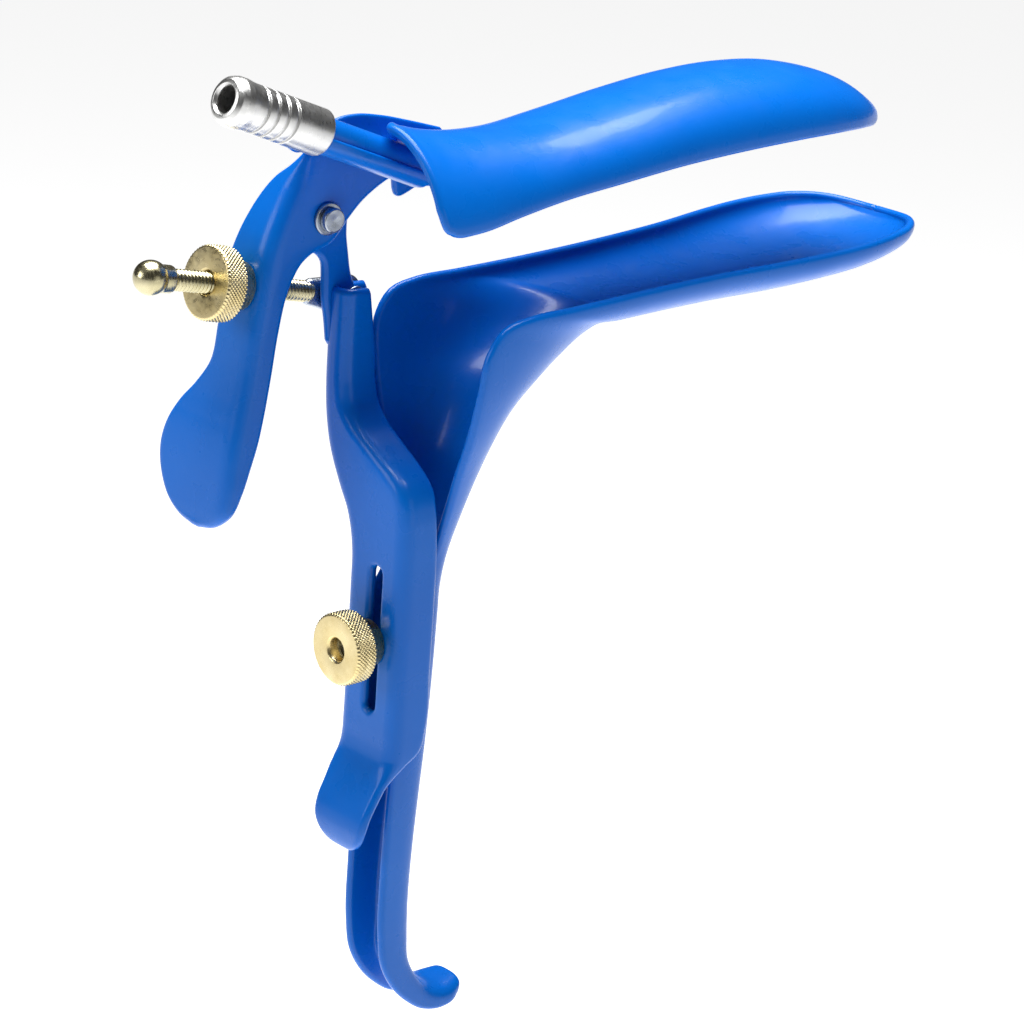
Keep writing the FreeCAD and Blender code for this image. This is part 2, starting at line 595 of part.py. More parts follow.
def lever_flange():
    """Side of the lever, from the paddle past the hinge and on into the band's raised lip."""
    y = FLANGE_NEAR
    foot = paddle_foot()
    span = LEVER_NECK - foot
    front = []
    for share, wide in [(0.0, 0.42), (0.14, 0.8), (0.25, 0.98), (0.4, 1.0), (0.57, 0.97), (0.78, 1.02)]:
        height = foot + share * span
        front.append(vec(web_face(height) + wide * FLANGE_WIDTH, y, height))
    under_hinge = [(-8.0, -13.0), (-6.8, -10.2), (-4.9, -7.4), (-1.5, -5.8), (1.9, -4.6), (5.7, -0.6),
                   (8.8, 2.5), (14.5, 5.8), (21.9, 8.3)]
    front += [vec(PIVOT_X + ahead, y, PIVOT_Z + up) for ahead, up in under_hinge]
    lip = [(25.9, 14.8), (16.0, 17.0), (7.5, 18.5), (2.6, 18.0), (-0.8, 15.6), (-3.1, 12.6)]
    top = [vec(PIVOT_X + ahead, y, PIVOT_Z + up) for ahead, up in lip]
    outer = [vec(point.x + 0.6, y, point.z) for point in web_line()[1:-1]][::-1]
    heel = vec(web_face(foot) + 0.6, y, foot)
    back = curve([top[-1]] + outer + [heel])
    edges = [curve(front), line(front[-1], top[0]), curve(top), back, line(heel, front[0])]
    return Part.Face(Part.Wire(edges)).extrude(vec(0, PLATE, 0))


def band_floor():
    """Strip below the tube, parallel to it, dished up towards its far side."""
    start = tube_axis(NOZZLE_LENGTH + 0.3)
    end = tube_axis(NOZZLE_LENGTH + 22.0)
    normal = vec(math.sin(math.radians(TUBE_SLOPE)), 0, math.cos(math.radians(TUBE_SLOPE)))
    drop = -normal * (TUBE_RADIUS + BRAZE_GAP)
    near = TUBE_SIDE - 6.0
    far = FLANGE_FAR - 0.5
    points = [vec(0, near, 1.0), vec(0, TUBE_SIDE - 3.4, 0.15), vec(0, TUBE_SIDE, 0), vec(0, TUBE_SIDE + 4.0, 0.5),
              vec(0, far, 3.0)]
    placed = [start + drop + normal * p.z + vec(0, p.y - TUBE_SIDE, 0) for p in points]
    lower = [p - normal * PLATE for p in placed]
    face = Part.Face(Part.Wire([curve(placed), line(placed[-1], lower[-1]), curve(lower[::-1]),
                                line(lower[0], placed[0])]))
    return face.extrude(end - start)


def screw_direction():
    slope = math.radians(SCREW_SLOPE)
    return vec(-math.cos(slope), 0, math.sin(slope))


def lever_hole():
    """Upright slot through the web, so that the screw can swing as the lever tilts."""
    r = LEVER_HOLE_WIDTH / 2
    half = LEVER_HOLE_LENGTH / 2 - r
    centre = vec(EYE_X, SCREW_SIDE, EYE_Z) + screw_direction() * web_reach()
    cuts = []
    for shift in (-half, half):
        cuts.append(cylinder(r, centre + vec(-8, 0, shift), vec(1, 0, 0), 14))
    box = Part.makeBox(14, 2 * r, 2 * half, centre + vec(-8, -r, -half))
    return box.fuse(cuts)


def thumb_lever(blade):
    body = lever_web().fuse([lever_flange(), band_floor()])
    hole = cylinder(RIVET_RADIUS, vec(PIVOT_X, FLANGE_NEAR - 5, PIVOT_Z), vec(0, 1, 0), PLATE + 8)
    body = body.cut([hole, lever_hole(), blade])
    return max(body.Solids, key=lambda solid: solid.Volume)


# Hinge rivet and its washer

def pivot_washer():
    base = FLANGE_NEAR
    ring = cylinder(WASHER_RADIUS, vec(PIVOT_X, base - WASHER_THICKNESS, PIVOT_Z), vec(0, 1, 0), WASHER_THICKNESS)
    hole = cylinder(RIVET_RADIUS, vec(PIVOT_X, base - 2, PIVOT_Z), vec(0, 1, 0), 4)
    return ring.cut(hole)


def pivot_rivet():
    near = FLANGE_NEAR - WASHER_THICKNESS
    far = ARM_FAR + PIN_GAP
    shank = cylinder(RIVET_RADIUS, vec(PIVOT_X, near, PIVOT_Z), vec(0, 1, 0), far - near)
    head = cylinder(RIVET_HEAD_RADIUS, vec(PIVOT_X, near - RIVET_HEAD_HEIGHT, PIVOT_Z), vec(0, 1, 0),
                    RIVET_HEAD_HEIGHT)
    tail = cylinder(WASHER_RADIUS, vec(PIVOT_X, far, PIVOT_Z), vec(0, 1, 0), WASHER_THICKNESS)
    return shank.fuse([head, tail]).removeSplitter()


# Tilt screw and what it carries

def screw_point(along):
    return vec(EYE_X, SCREW_SIDE, EYE_Z) + screw_direction() * along


def tilt_screw():
    """Round shank that ends in a flat eye; a cone joins the two."""
    neck = EYE_RADIUS * 2.0
    shank = cylinder(SCREW_RADIUS, screw_point(neck), screw_direction(), SCREW_LENGTH - neck)
    half = EYE_THICKNESS / 2
    centre = screw_point(0)
    disc = cylinder(EYE_RADIUS, centre - vec(0, half, 0), vec(0, 1, 0), EYE_THICKNESS)
    flat = Part.makeBox(neck + 0.6, EYE_THICKNESS, 2 * SCREW_RADIUS * 1.3, vec(-neck - 0.6, -half, -SCREW_RADIUS * 1.3))
    flat.rotate(vec(0, 0, 0), vec(0, 1, 0), SCREW_SLOPE)
    flat.translate(centre)
    hole = cylinder(EYE_RIVET_RADIUS + PIN_GAP, centre - vec(0, 5, 0), vec(0, 1, 0), 10)
    return shank.fuse([disc, flat]).removeSplitter().cut(hole)


def eye_rivet():
    near = EAR_NEAR - 2 * PIN_GAP
    far = SCREW_SIDE + EYE_THICKNESS / 2 + PIN_GAP
    shank = cylinder(EYE_RIVET_RADIUS, vec(EYE_X, near, EYE_Z), vec(0, 1, 0), far - near)
    head = cylinder(EYE_RIVET_HEAD_RADIUS, vec(EYE_X, far, EYE_Z), vec(0, 1, 0), EYE_RIVET_HEAD_HEIGHT)
    tail = cylinder(EYE_RIVET_HEAD_RADIUS, vec(EYE_X, near - 0.6, EYE_Z), vec(0, 1, 0), 0.6)
    return shank.fuse([head, tail]).removeSplitter()


def stop_ball():
    """Ball with a short collar and a blind socket that takes the end of the screw."""
    socket = SCREW_RADIUS + BRAZE_GAP
    collar = SCREW_RADIUS + 0.5
    mouth = -BALL_RADIUS - 1.0
    shoulder = -math.sqrt(BALL_RADIUS ** 2 - collar ** 2)
    profile = [
        line(vec(BRAZE_GAP, 0, 0), vec(BRAZE_GAP, 0, socket)),
        line(vec(BRAZE_GAP, 0, socket), vec(mouth, 0, socket)),
        line(vec(mouth, 0, socket), vec(mouth, 0, collar)),
        line(vec(mouth, 0, collar), vec(shoulder, 0, collar)),
        Part.Arc(vec(shoulder, 0, collar), vec(0, 0, BALL_RADIUS), vec(BALL_RADIUS, 0, 0)).toShape(),
        line(vec(BALL_RADIUS, 0, 0), vec(BRAZE_GAP, 0, 0)),
    ]
    ball = Part.Face(Part.Wire(profile)).revolve(vec(0, 0, 0), vec(1, 0, 0), 360)
    ball.rotate(vec(0, 0, 0), vec(0, 1, 0), 180 + SCREW_SLOPE)
    ball.translate(screw_point(SCREW_LENGTH))
    return ball


def knurled_nut(bore_radius):
    """Nut along +X from its boss face at zero: boss, then the wide knurled rim with small chamfers."""
    r = NUT_RADIUS
    start = BOSS_LENGTH
    end = BOSS_LENGTH + NUT_LENGTH
    points = [(0, bore_radius), (0, BOSS_RADIUS - 0.3), (0.3, BOSS_RADIUS), (start, BOSS_RADIUS),
              (start, r - 0.4), (start + 0.4, r), (end - 0.4, r), (end, r - 0.4), (end, bore_radius),
              (0, bore_radius)]
    face = Part.Face(Part.makePolygon([vec(x, 0, z) for x, z in points]))
    return face.revolve(vec(0, 0, 0), vec(1, 0, 0), 360)


def web_reach():
    """Distance along the screw from its eye to the outer face of the lever's web."""
    slope = math.radians(SCREW_SLOPE)
    reach = (EYE_X - web_face(EYE_Z)) / math.cos(slope)
    return (EYE_X - web_face(EYE_Z + math.sin(slope) * reach)) / math.cos(slope)


def tilt_nut():
    nut = knurled_nut(SCREW_RADIUS + PIN_GAP)
    nut.rotate(vec(0, 0, 0), vec(0, 1, 0), 180 + SCREW_SLOPE)
    nut.translate(screw_point(web_reach() + TILT_NUT_STANDOFF))
    return nut


# Lock stud and lock nut

def lock_nut():
    nut = knurled_nut(STUD_RADIUS + PIN_GAP)
    nut.rotate(vec(0, 0, 0), vec(0, 0, 1), 180)
    nut.translate(vec(-SEAT_GAP, 0, STUD_HEIGHT))
    return nut


def lock_stud():
    start = -SEAT_GAP - BOSS_LENGTH - NUT_LENGTH + STUD_RECESS
    back = HANDLE_RIM_X + HANDLE_DEPTH
    return cylinder(STUD_RADIUS, vec(start, 0, STUD_HEIGHT), vec(1, 0, 0), back - start)


def main():
    upper = upper_blade()
    shapes = {
        "lower_blade": lower_blade(),
        "yoke": yoke(),
        "upper_blade": upper,
        "thumb_lever": thumb_lever(upper),
        "smoke_tube": smoke_tube(),
        "hose_connector": hose_connector(),
        "pivot_rivet": pivot_rivet(),
        "pivot_washer": pivot_washer(),
        "tilt_screw": tilt_screw(),
        "eye_rivet": eye_rivet(),
        "stop_ball": stop_ball(),
        "tilt_nut": tilt_nut(),
        "lock_stud": lock_stud(),
        "lock_nut": lock_nut(),
    }
    for name, shape in shapes.items():
        shape.exportStep("parts/" + name + ".step")
        print(name, round(shape.Volume, 1), len(shape.Solids), shape.isValid())


main()
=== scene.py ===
# %% [markdown]
# # A coated bivalve instrument, built piece by piece
# We are going to dress a CAD model. The frame gives us rigid bodies with joints, and
# every piece below is a fine mesh that rides on one of those bodies.
# Almost everything here is thin pressed sheet with a thick glossy coat,
# so one idea does most of the work: describe a middle surface and let a function thicken it.

# %% Load the frame and keep its box
import math

import bmesh
import bpy
import numpy as np
from mathutils import Matrix, Vector


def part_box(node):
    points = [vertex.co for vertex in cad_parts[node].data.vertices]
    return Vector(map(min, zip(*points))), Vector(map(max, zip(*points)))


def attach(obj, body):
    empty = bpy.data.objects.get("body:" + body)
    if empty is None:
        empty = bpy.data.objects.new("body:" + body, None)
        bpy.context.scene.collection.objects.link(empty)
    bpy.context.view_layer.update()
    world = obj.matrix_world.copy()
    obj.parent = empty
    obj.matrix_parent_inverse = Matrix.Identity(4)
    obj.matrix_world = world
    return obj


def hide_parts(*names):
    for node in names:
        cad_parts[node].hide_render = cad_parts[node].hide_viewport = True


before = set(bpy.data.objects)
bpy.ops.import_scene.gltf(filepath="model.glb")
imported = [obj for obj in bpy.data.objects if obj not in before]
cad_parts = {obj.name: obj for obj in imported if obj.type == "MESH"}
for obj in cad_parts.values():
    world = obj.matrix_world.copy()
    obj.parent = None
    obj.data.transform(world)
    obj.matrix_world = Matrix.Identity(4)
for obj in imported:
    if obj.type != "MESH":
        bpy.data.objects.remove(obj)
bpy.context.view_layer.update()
MM = 0.001

# %% [markdown]
# ## Curves through a few points
# A designer gives a handful of stations, and the computer fills in the rest.
# `through` is a cubic curve that passes through every station. It works for any number of columns,
# so one call can carry a whole cross-section along: rim, keel, width and squareness together.
# `crowd` packs rows closer at both ends, where shapes usually turn fastest.

# %% Smooth curves as arrays
def through(points, count, crowd=0.0):
    """Cubic curve: between two stations the value is the Hermite blend of both ends and both slopes."""
    p = np.asarray(points, float)
    at = np.concatenate([[0.0], np.cumsum(np.linalg.norm(np.diff(p, axis=0), axis=1))])
    slope = np.gradient(p, at, axis=0)
    t = np.linspace(0.0, 1.0, count)
    s = at[-1] * (t - crowd * np.sin(2 * np.pi * t) / (2 * np.pi))
    k = np.clip(np.searchsorted(at, s, side="right") - 1, 0, len(p) - 2)
    h = (at[k + 1] - at[k])[:, None]
    u = (s - at[k])[:, None] / h
    return ((2 * u**3 - 3 * u**2 + 1) * p[k] + (u**3 - 2 * u**2 + u) * h * slope[k]
            + (3 * u**2 - 2 * u**3) * p[k + 1] + (u**3 - u**2) * h * slope[k + 1])


def grid_quads(rows, columns, closed=False):
    """Quads of a rows by columns grid: corner indices r*columns+c, wrapping round when closed."""
    r, c = np.meshgrid(np.arange(rows - 1), np.arange(columns if closed else columns - 1), indexing="ij")
    n = (c + 1) % columns
    return np.stack([r * columns + c, (r + 1) * columns + c, (r + 1) * columns + n, r * columns + n],
                    axis=-1).reshape(-1, 4)


# %% [markdown]
# ## From arrays to objects
# Blender wants vertices and faces. We keep millimetres in the arrays and scale once, here.
# Each object names the body it rides on, the CAD nodes it stands for, and its material.

# %% Make an object from arrays
def add_piece(name, points, faces, body, material, replaces=(), smooth=True):
    """Mesh object with the points scaled from millimetres to metres, riding on a body. Points closer
    than two thousandths of a millimetre are welded, which closes seams and poles."""
    mesh = bpy.data.meshes.new(name)
    mesh.from_pydata((np.asarray(points, float) * MM).tolist(), [], [list(map(int, f)) for f in faces])
    solid = bmesh.new()
    solid.from_mesh(mesh)
    bmesh.ops.remove_doubles(solid, verts=solid.verts, dist=2e-6)
    solid.to_mesh(mesh)
    solid.free()
    mesh.polygons.foreach_set("use_smooth", [smooth] * len(mesh.polygons))
    mesh.update()
    piece = bpy.data.objects.new(name, mesh)
    bpy.context.scene.collection.objects.link(piece)
    mesh.materials.append(material)
    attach(piece, body)
    if replaces:
        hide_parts(*replaces)
    print(f"{name}: {len(mesh.vertices)} points, {len(mesh.polygons)} faces")
    return piece


# %% [markdown]
# ## Thickening a middle surface
# Real sheet has two faces and, once coated, a fully round edge.
# We push the middle surface half a thickness out along its normals both ways,
# find every border edge (an edge that only one face uses), and sweep a half circle round it.
# Holes and tips need no special care: they are just more border.

# %% The thickening function
def vertex_normals(points, quads):
    """Sum of the face normals (cross product of the diagonals) at each vertex, made unit length."""
    a, b, c, d = (points[quads[:, i]] for i in range(4))
    face = np.cross(c - a, d - b)
    normal = np.zeros_like(points)
    for i in range(4):
        np.add.at(normal, quads[:, i], face)
    return normal / np.maximum(np.linalg.norm(normal, axis=1, keepdims=True), 1e-12)


def thicken(points, quads, thickness, arc=7):
    """Sheet: both faces are the middle plus and minus half a thickness along the normal; each border
    point gets a half circle, middle + t/2 (cos a * normal + sin a * outward)."""
    points = np.asarray(points, float)
    n = len(points)
    normal = vertex_normals(points, quads)
    half = thickness / 2
    edges = np.concatenate([quads[:, [0, 1]], quads[:, [1, 2]], quads[:, [2, 3]], quads[:, [3, 0]]])
    edges = edges[edges[:, 0] != edges[:, 1]]
    code = edges[:, 0] * n + edges[:, 1]
    border = edges[~np.isin(code, edges[:, 1] * n + edges[:, 0])]
    after = np.full(n, -1)
    before = np.full(n, -1)
    after[border[:, 0]] = border[:, 1]
    before[border[:, 1]] = border[:, 0]
    rim = border[:, 0]
    along = points[after[rim]] - points[before[rim]]
    outward = np.cross(along, normal[rim])
    outward /= np.maximum(np.linalg.norm(outward, axis=1, keepdims=True), 1e-12)
    layers = [points + normal * half, points - normal * half]
    ring_of = np.full(n, -1)
    ring_of[rim] = np.arange(len(rim))
    rings = [rim]
    start = 2 * n
    for step in range(1, arc):
        angle = math.pi * step / arc
        layers.append(points[rim] + half * (math.cos(angle) * normal[rim] + math.sin(angle) * outward))
        rings.append(start + np.arange(len(rim)))
        start += len(rim)
    rings.append(rim + n)
    faces = [quads, quads[:, ::-1] + n]
    a, b = ring_of[border[:, 0]], ring_of[border[:, 1]]
    for upper, lower in zip(rings, rings[1:]):
        faces.append(np.stack([upper[b], upper[a], lower[a], lower[b]], axis=-1))
    return np.concatenate(layers), np.concatenate(faces)


# %% [markdown]
# ## Folded sheet
# Brackets and channels are flat strips with folds. Give the free edges and fold lines as rows of points,
# and each fold becomes a short quadratic curve whose reach is the bend radius.

# %% Strips with rounded folds
def folded(lines, reach, counts):
    """Grid across the lines: straight between folds; at a fold the curve
    (1-u)^2 A + 2u(1-u) C + u^2 B, with A and B one reach away from the fold C."""
    lines = [np.asarray(line, float) for line in lines]
    columns = []
    last = lines[0]
    for i in range(1, len(lines) - 1):
        fold = lines[i]
        into, out = lines[i - 1] - fold, lines[i + 1] - fold
        size_in = np.maximum(np.linalg.norm(into, axis=1, keepdims=True), 1e-9)
        size_out = np.maximum(np.linalg.norm(out, axis=1, keepdims=True), 1e-9)
        share_in = np.minimum(reach, 0.48 * size_in) / size_in
        share_out = np.minimum(reach, 0.48 * size_out) / size_out
        a, b = fold + into * share_in, fold + out * share_out
        for u in np.linspace(0, 1, counts[i - 1], endpoint=False):
            columns.append(last + (a - last) * u)
        for u in np.linspace(0, 1, 7, endpoint=False):
            columns.append((1 - u) ** 2 * a + 2 * u * (1 - u) * fold + u**2 * b)
        last = b
    for u in np.linspace(0, 1, counts[-1]):
        columns.append(last + (lines[-1] - last) * u)
    return np.stack(columns, axis=1)


def sheet_piece(name, grid, thickness, *args, **kwargs):
    """A grid of rows by columns turned into a thick sheet object."""
    rows, columns = grid.shape[:2]
    points, faces = thicken(grid.reshape(-1, 3), grid_quads(rows, columns), thickness)
    return add_piece(name, points, faces, *args, **kwargs)


# %% [markdown]
# ## The glossy blue coat
# The coat is a thick nylon layer over steel: strong colour, soft broad highlights and a faint orange peel.
# Large slow noise shifts the blue a little, fine noise bends the highlights, and another varies the gloss.
# Object coordinates keep the grain the same size on every piece.

# %% Material helpers and the blue coat
def new_material(name, slot, roughness, metallic):
    """Principled material with Object coordinates ready to use."""
    material = bpy.data.materials.new(name)
    material["slot"] = slot
    material.use_nodes = True
    nodes, links = material.node_tree.nodes, material.node_tree.links
    shader = nodes["Principled BSDF"]
    shader.inputs["Roughness"].default_value = roughness
    shader.inputs["Metallic"].default_value = metallic
    place = nodes.new("ShaderNodeTexCoord")
    return material, nodes, links, shader, place.outputs["Object"]


def noise(nodes, links, where, scale, detail=2.0, stretch=(1, 1, 1)):
    """Noise value in the piece's own metres, stretched by a Mapping node."""
    mapping = nodes.new("ShaderNodeMapping")
    mapping.inputs["Scale"].default_value = stretch
    links.new(where, mapping.inputs["Vector"])
    texture = nodes.new("ShaderNodeTexNoise")
    texture.inputs["Scale"].default_value = scale
    texture.inputs["Detail"].default_value = detail
    links.new(mapping.outputs["Vector"], texture.inputs["Vector"])
    return texture.outputs["Fac"]


def ranged(nodes, links, value, low, high):
    """Map 0.3 to 0.7 of a noise onto low to high."""
    node = nodes.new("ShaderNodeMapRange")
    node.inputs["From Min"].default_value = 0.3
    node.inputs["From Max"].default_value = 0.7
    node.inputs["To Min"].default_value = low
    node.inputs["To Max"].default_value = high
    links.new(value, node.inputs["Value"])
    return node.outputs["Result"]


def mixed(nodes, links, value, first, second):
    """Colour between two, chosen by a value."""
    node = nodes.new("ShaderNodeMix")
    node.data_type = "RGBA"
    node.inputs["A"].default_value = (*first, 1)
    node.inputs["B"].default_value = (*second, 1)
    links.new(value, node.inputs["Factor"])
    return node.outputs["Result"]


def bumped(nodes, links, shader, heights, strength):
    """Chain of bumps from several noises, each with its own depth in metres."""
    normal = None
    for value, depth in heights:
        bump = nodes.new("ShaderNodeBump")
        bump.inputs["Strength"].default_value = strength
        bump.inputs["Distance"].default_value = depth
        links.new(value, bump.inputs["Height"])
        if normal:
            links.new(normal, bump.inputs["Normal"])
        normal = bump.outputs["Normal"]
    links.new(normal, shader.inputs["Normal"])


def blue_coat():
    """Thick nylon coat: slow noise mixes two blues, a finer one sets the gloss, two more bend the light."""
    material, nodes, links, shader, place = new_material("blue_coat_finish", "blue_coat", 0.3, 0.0)
    slow = ranged(nodes, links, noise(nodes, links, place, 28, 2), 0, 1)
    blue = mixed(nodes, links, slow, (0.000, 0.115, 0.52), (0.000, 0.135, 0.58))
    links.new(blue, shader.inputs["Base Color"])
    gloss = noise(nodes, links, place, 160, 3)
    links.new(ranged(nodes, links, gloss, 0.24, 0.34), shader.inputs["Roughness"])
    shader.inputs["Coat Weight"].default_value = 0.12
    shader.inputs["Coat Roughness"].default_value = 0.06
    shader.inputs["Specular IOR Level"].default_value = 0.2
    bumped(nodes, links, shader, [(noise(nodes, links, place, 420, 2), 0.00012),
                                  (noise(nodes, links, place, 2600, 1), 0.00001)], 0.25)
    return material


coat = blue_coat()

# %% [markdown]
# ## Turned metal
# Brass and steel share a recipe: fully metallic, a slightly uneven gloss, and very fine lines from the tool.
# Stretching a noise along one axis turns it into brushed lines; here they run round the turned parts.

# %% Brass and steels
def turned_metal(name, slot, dark, light, rough_low, rough_high, stretch):
    """Bare metal: patches between two tones, and stretched noise as tool lines in gloss and height."""
    material, nodes, links, shader, place = new_material(name, slot, rough_low, 1.0)
    patch = ranged(nodes, links, noise(nodes, links, place, 240, 3), 0, 1)
    links.new(mixed(nodes, links, patch, dark, light), shader.inputs["Base Color"])
    lines = noise(nodes, links, place, 900, 2, stretch)
    links.new(ranged(nodes, links, lines, rough_low, rough_high), shader.inputs["Roughness"])
    bumped(nodes, links, shader, [(lines, 0.00003)], 0.3)
    return material


brass = turned_metal("pale_brass", "brass", (0.62, 0.50, 0.24), (0.74, 0.63, 0.36),
                     0.24, 0.38, (6, 1, 1))
screw_brass = turned_metal("screw_metal", "brass", (0.42, 0.38, 0.22), (0.56, 0.51, 0.33),
                           0.18, 0.32, (6, 1, 1))
satin_steel = turned_metal("satin_steel", "steel", (0.62, 0.62, 0.61), (0.72, 0.72, 0.71),
                           0.26, 0.40, (8, 1, 1))
dark_steel = turned_metal("dark_steel", "steel", (0.30, 0.33, 0.38), (0.42, 0.46, 0.52),
                          0.20, 0.38, (1, 6, 1))
print("materials:", [m.name for m in bpy.data.materials])

# %% [markdown]
# ## Troughs
# Both blades are troughs. A superellipse gives their cross-section: at 2 it is a half ellipse,
# at 4 it is a channel with soft corners. One station is rim x, rim z, keel x, keel z, half width, squareness.
# The columns fan out by angle, so that corners get as many points as flat parts.
# Two more numbers shape an open end: how much of the wall's height is cut away, and how far forward
# the far side is set. Where a station leaves them out they are nought.

# %% Trough surface
def trough(stations, rows, columns, crowd=0.6):
    """Grid: rim + down * (keel - rim) and across * half width, where (across, down) lies on the
    superellipse |sin|^n + |cos|^n = 1 scaled along the direction of each angle. A cut share d limits
    the angle to the one whose tangent is (1 - d^n)^(1/n) / d."""
    full = [(*station, 0.0, 0.0)[:8] for station in stations]
    s = through(full, rows, crowd)[:, None, :]
    power, cut = s[..., 5], np.clip(s[..., 6], 0.0, 0.9)
    widest = np.arctan2((1 - cut**power) ** (1 / power), cut)
    angle = np.linspace(-1, 1, columns)[None, :] * widest
    sin, cos = np.sin(angle), np.maximum(np.cos(angle), 1e-9)
    radius = (np.abs(sin) ** power + cos ** power) ** (-1 / power)
    across, down = radius * sin, radius * cos
    x = s[..., 0] + down * (s[..., 2] - s[..., 0]) + s[..., 7] * np.maximum(across, 0.0)
    z = s[..., 1] + down * (s[..., 3] - s[..., 1])
    return np.stack([x, across * np.abs(s[..., 4]), z], axis=-1)


def inset(grid, distance):
    """The grid moved along its own normals, so that an outer face becomes a middle surface."""
    rows, columns = grid.shape[:2]
    flat = grid.reshape(-1, 3)
    return grid + distance * vertex_normals(flat, grid_quads(rows, columns)).reshape(grid.shape)


# %% [markdown]
# ## Lower blade, handle and hook in one pressing
# This is the long piece: it starts at the hook, climbs the handle as a square channel,
# widens through the neck while its squareness melts from 4 to 2.2, and turns forward into the blade.
# It could be modelled as a box and subdivided, but one list of stations keeps the wall at one thickness
# from hook to tip. The last stations close the tip like a spoon, with width and depth running out together.

# %% Lower blade
SHEET = 1.8
lower_stations = [
    (24.6, -33.0, 25.0, -30.4, 4.6, 2.6), (22.8, -33.8, 23.0, -30.6, 5.4, 2.8),
    (19.6, -34.2, 20.0, -30.7, 5.7, 3.2), (15.2, -33.2, 16.2, -29.2, 5.7, 3.6),
    (10.8, -30.2, 13.0, -25.6, 5.7, 4.0), (7.2, -26.4, 11.0, -21.2, 5.7, 4.0),
    (4.4, -21.4, 10.7, -16.1, 5.7, 4.0), (3.2, -14.6, 10.5, -10.1, 5.7, 4.0),
    (2.9, -2.0, 10.7, 0.0, 5.7, 4.0), (3.2, 11.0, 11.5, 12.0, 5.7, 4.0),
    (3.5, 22.0, 12.4, 23.0, 5.7, 4.0), (3.5, 35.0, 13.1, 35.0, 5.7, 4.0),
    (3.5, 47.0, 13.5, 47.5, 5.7, 4.0), (3.8, 50.5, 13.6, 50.8, 5.7, 3.9),
    (4.7, 52.9, 13.7, 53.5, 5.7, 3.6), (7.1, 56.7, 14.2, 58.3, 5.8, 3.2),
    (9.8, 61.4, 15.4, 63.9, 6.1, 2.8), (10.5, 68.5, 17.5, 71.0, 7.9, 2.5),
    (10.5, 78.0, 21.1, 80.5, 10.8, 2.3), (10.5, 87.5, 26.5, 90.0, 13.9, 2.2),
    (10.5, 96.4, 33.0, 94.7, 15.9, 2.2), (11.1, 102.6, 38.5, 97.9, 16.6, 2.2),
    (14.2, 106.8, 43.0, 100.4, 16.8, 2.2), (19.9, 108.2, 46.9, 102.3, 16.9, 2.2),
    (31.5, 108.7, 51.5, 102.3, 16.7, 2.2), (48.3, 109.4, 60.3, 102.5, 16.4, 2.2),
    (67.6, 110.3, 73.6, 102.9, 16.8, 2.2), (86.4, 111.2, 88.4, 103.3, 18.4, 2.2),
    (100.0, 112.2, 100.0, 104.2, 19.8, 2.2), (108.7, 112.9, 108.7, 105.0, 20.0, 2.2),
    (116.8, 113.6, 116.8, 106.2, 19.0, 2.2), (123.6, 114.1, 123.6, 107.7, 16.8, 2.2),
    (128.3, 114.2, 128.3, 109.5, 13.2, 2.2), (130.9, 114.0, 130.9, 111.1, 9.6, 2.2),
    (132.0, 113.8, 132.0, 112.3, 6.0, 2.2), (132.45, 113.7, 132.45, 112.8, 2.8, 2.2),
    (132.5, 113.7, 132.5, 112.9, 0.4, 2.2),
]
lower_grid = inset(trough(lower_stations, 300, 57), SHEET / 2)
sheet_piece("lower_blade_coated", lower_grid, SHEET, "handle", coat, ["lower_blade"])

# %% [markdown]
# ## Upper blade
# This blade lifts when the lever is pressed. It is the same trough turned over: its crown is above its rims,
# so one function can make both and their sheet is sure to match. At the open base the lower corners are
# rounded lobes, so there the wall is cut away by a share that runs from 0.29 to nought, and the far half
# of the base edge is set forward to meet the lever.

# %% Upper blade
upper_stations = [
    (-1.4, 126.3, -1.4, 143.1, 15.75, 1.75, 0.29, 14.0), (-0.8, 126.3, -0.8, 142.8, 15.75, 1.75, 0.15, 13.5),
    (0.9, 126.3, 0.9, 142.4, 15.75, 1.75, 0.04, 12.0), (3.2, 126.4, 3.2, 141.9, 15.75, 1.75, 0.0, 10.2),
    (8.6, 126.9, 7.4, 141.2, 15.8, 1.8, 0.0, 6.4), (16.3, 128.5, 14.3, 140.5, 15.8, 1.9, 0.0, 2.6),
    (27.1, 130.5, 26.5, 140.4, 15.9, 2.0, 0.0, 0.5),
    (41.4, 132.4, 41.4, 142.3, 16.3, 2.1), (56.9, 134.3, 56.9, 144.8, 16.6, 2.2),
    (72.5, 135.7, 72.5, 146.9, 17.1, 2.2), (86.8, 136.6, 86.8, 147.6, 17.5, 2.2),
    (98.7, 136.9, 98.7, 146.9, 17.0, 2.2), (108.9, 136.6, 108.9, 144.5, 14.7, 2.2),
    (116.0, 135.9, 116.0, 141.1, 10.8, 2.2), (120.6, 135.7, 120.6, 138.6, 6.5, 2.2),
    (122.4, 135.9, 122.4, 137.4, 3.0, 2.2), (123.0, 136.3, 123.0, 136.7, 0.4, 2.2),
]
upper_grid = inset(trough(upper_stations, 180, 57), -SHEET / 2)
sheet_piece("upper_blade_coated", upper_grid, SHEET, "jaw", coat, ["upper_blade"])

# %% [markdown]
# ## Yoke
# The yoke slides on the handle and is held by the lock nut. It is one folded strip. Its stations carry
# seven numbers: web x, near edge y and z, far edge y and z, and how deep each side wall reaches.
# At the bottom the walls fade out and the web bends outward into the thumb rest; at the top the strip has
# swung sideways and become the narrow arm. The slot could be cut with a boolean, but a column of points that
# splits in two leaves a clean edge, and the thickening rounds it as the coat does.

